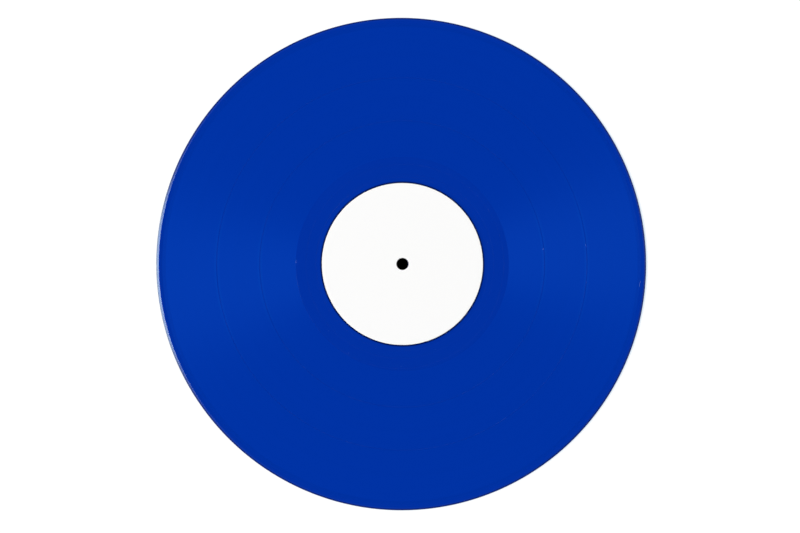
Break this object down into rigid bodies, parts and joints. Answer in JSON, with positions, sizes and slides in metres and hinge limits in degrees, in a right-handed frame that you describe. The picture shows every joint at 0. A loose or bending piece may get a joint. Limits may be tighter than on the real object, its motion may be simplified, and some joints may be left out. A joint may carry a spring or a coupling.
{
  "type": "vinyl record",
  "caption": "Flat round long-playing record of solid blue vinyl with raised rim, banded grooves, blank white paper labels and a round spindle hole.",
  "frame": {"origin": "centre of the spindle hole on the plane that the record rests on", "axes": "+Z along the spindle hole, up from side B to side A; +X and +Y across the disc, to the right and the top of the picture"},
  "size_m": [0.3016, 0.3016, 0.0019],
  "materials": {
    "blue_vinyl": "gloss",
    "label_paper": "matte"
  },
  "bodies": {
    "root": {"vinyl_disc": "blue_vinyl", "label_side_a": "label_paper", "label_side_b": "label_paper"}
  },
  "joints": []
}
